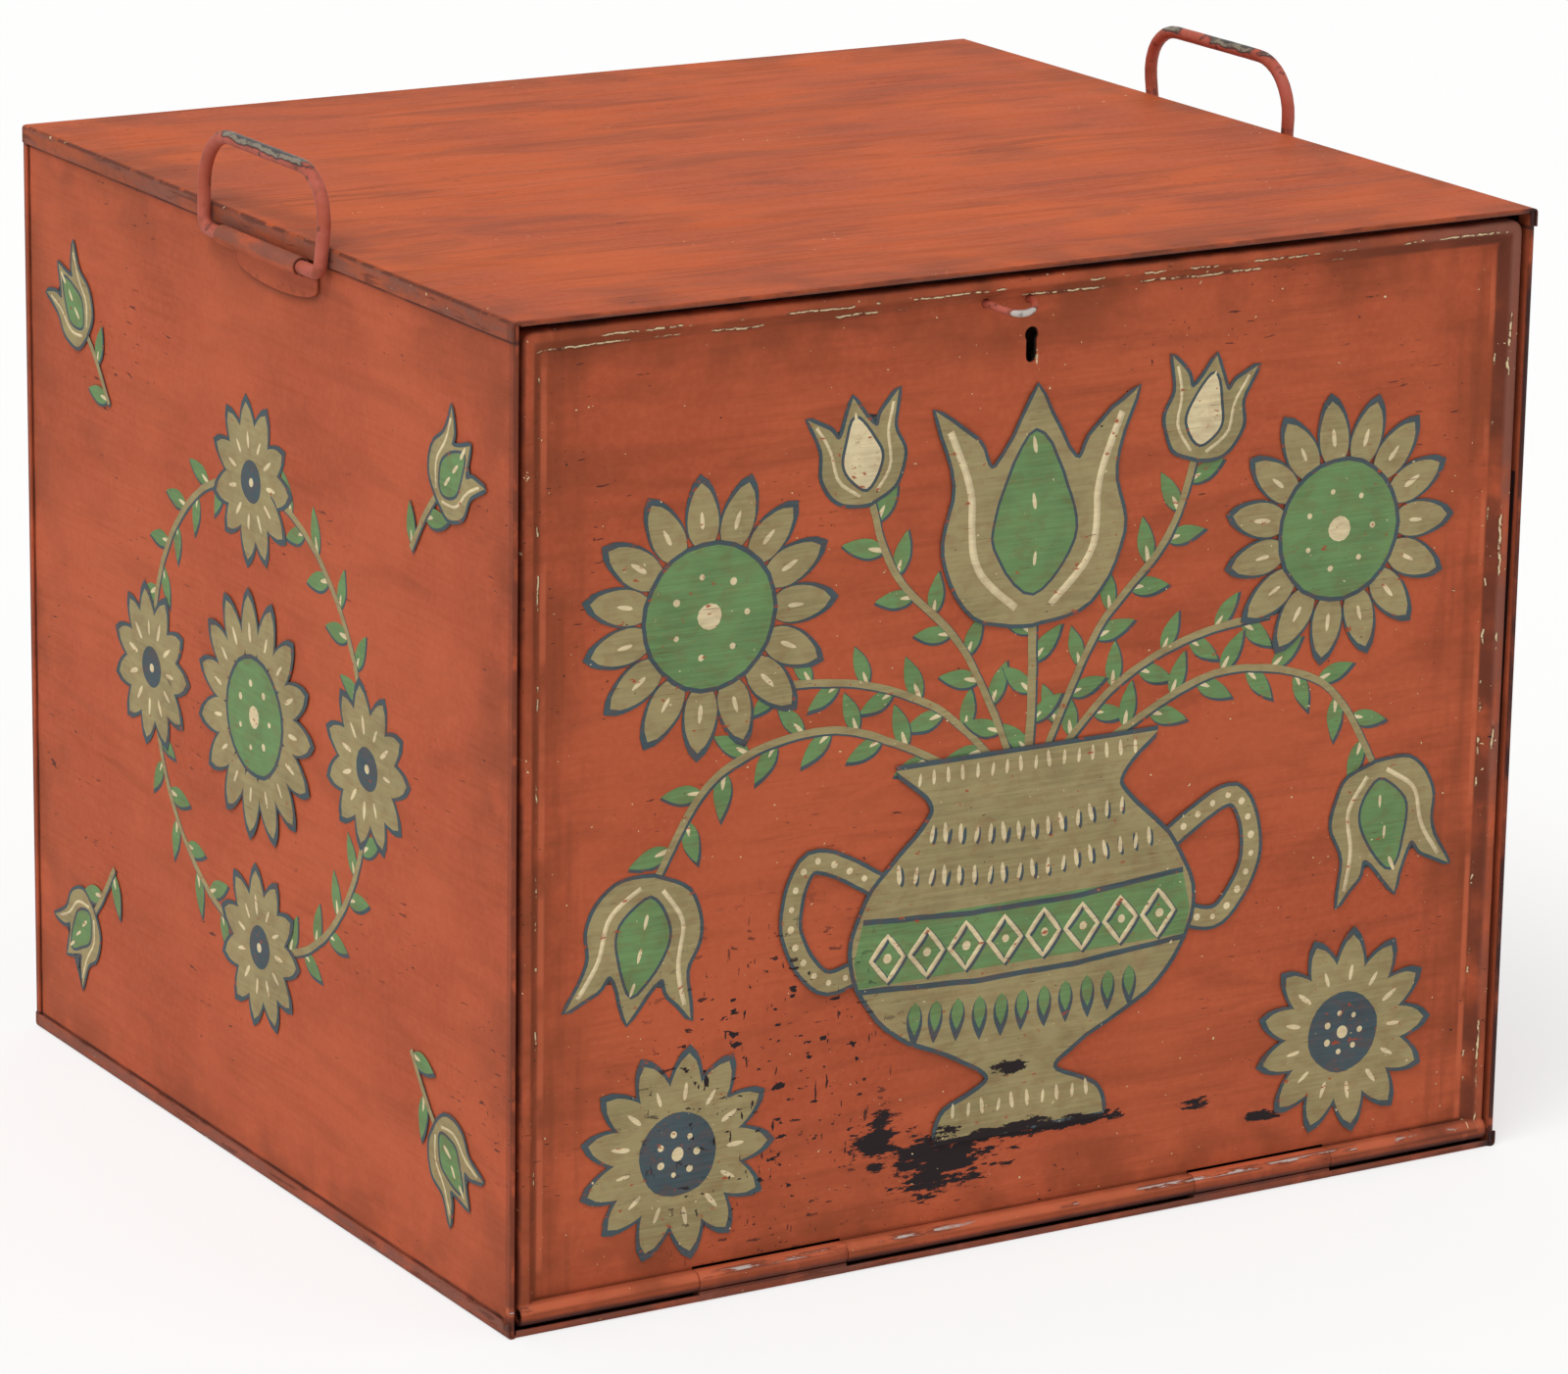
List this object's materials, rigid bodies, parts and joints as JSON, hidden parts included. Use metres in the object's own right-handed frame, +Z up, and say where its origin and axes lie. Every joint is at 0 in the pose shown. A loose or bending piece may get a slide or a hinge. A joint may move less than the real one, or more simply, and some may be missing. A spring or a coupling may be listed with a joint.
{
  "type": "metal deed box",
  "caption": "Red painted sheet-steel deed box with a drop front hinged along its lower edge, a pull loop, a keyhole with a warded lock, and a folding bail handle on each side.",
  "frame": {"origin": "middle of the underside, on the surface that the box stands on", "axes": "+Z up, -Y out of the front with its drop flap, +X to the right seen from the front"},
  "size_m": [0.4614, 0.4179, 0.4105],
  "materials": {
    "red_paint": "brushed oil paint, satin, worn through at the edges",
    "handle_paint": "thin red paint, worn to bare steel where it is held",
    "bare_steel": "dull bare steel",
    "brass": "dull brass"
  },
  "bodies": {
    "case": {"top_panel": "red_paint", "bottom_panel": "red_paint", "left_side_panel": "red_paint", "right_side_panel": "red_paint", "back_panel": "red_paint", "left_flap_stop": "red_paint", "right_flap_stop": "red_paint", "top_keeper": "red_paint", "hinge_pin": "bare_steel", "left_handle_clip": "handle_paint", "right_handle_clip": "handle_paint"},
    "flap": {"front_flap": "red_paint", "pull_loop": "handle_paint", "lock_plate": "bare_steel", "lock_case": "bare_steel", "lock_rivet_1": "bare_steel", "lock_rivet_2": "bare_steel", "lock_rivet_3": "bare_steel", "lock_rivet_4": "bare_steel", "bolt_spring": "bare_steel", "key_ward": "brass"},
    "bolt": {"lock_bolt": "brass"},
    "left_handle": {"left_handle": "handle_paint"},
    "right_handle": {"right_handle": "handle_paint"}
  },
  "joints": [
    {"name": "flap_hinge", "type": "hinge", "parent": "case", "child": "flap", "pos_m": [0, -0.2016, 0.0076], "axis": [1, 0, 0], "range_deg": [0, 89]},
    {"name": "bolt_slide", "type": "slide", "parent": "flap", "child": "bolt", "axis": [0, 0, 1], "range_m": [0, 0.008]},
    {"name": "left_handle_pivot", "type": "hinge", "parent": "case", "child": "left_handle", "pos_m": [-0.227, -0.0155, 0.3705], "axis": [0, -1, 0], "range_deg": [0, 180]},
    {"name": "right_handle_pivot", "type": "hinge", "parent": "case", "child": "right_handle", "pos_m": [0.227, 0.0155, 0.3705], "axis": [0, 1, 0], "range_deg": [0, 180]}
  ]
}
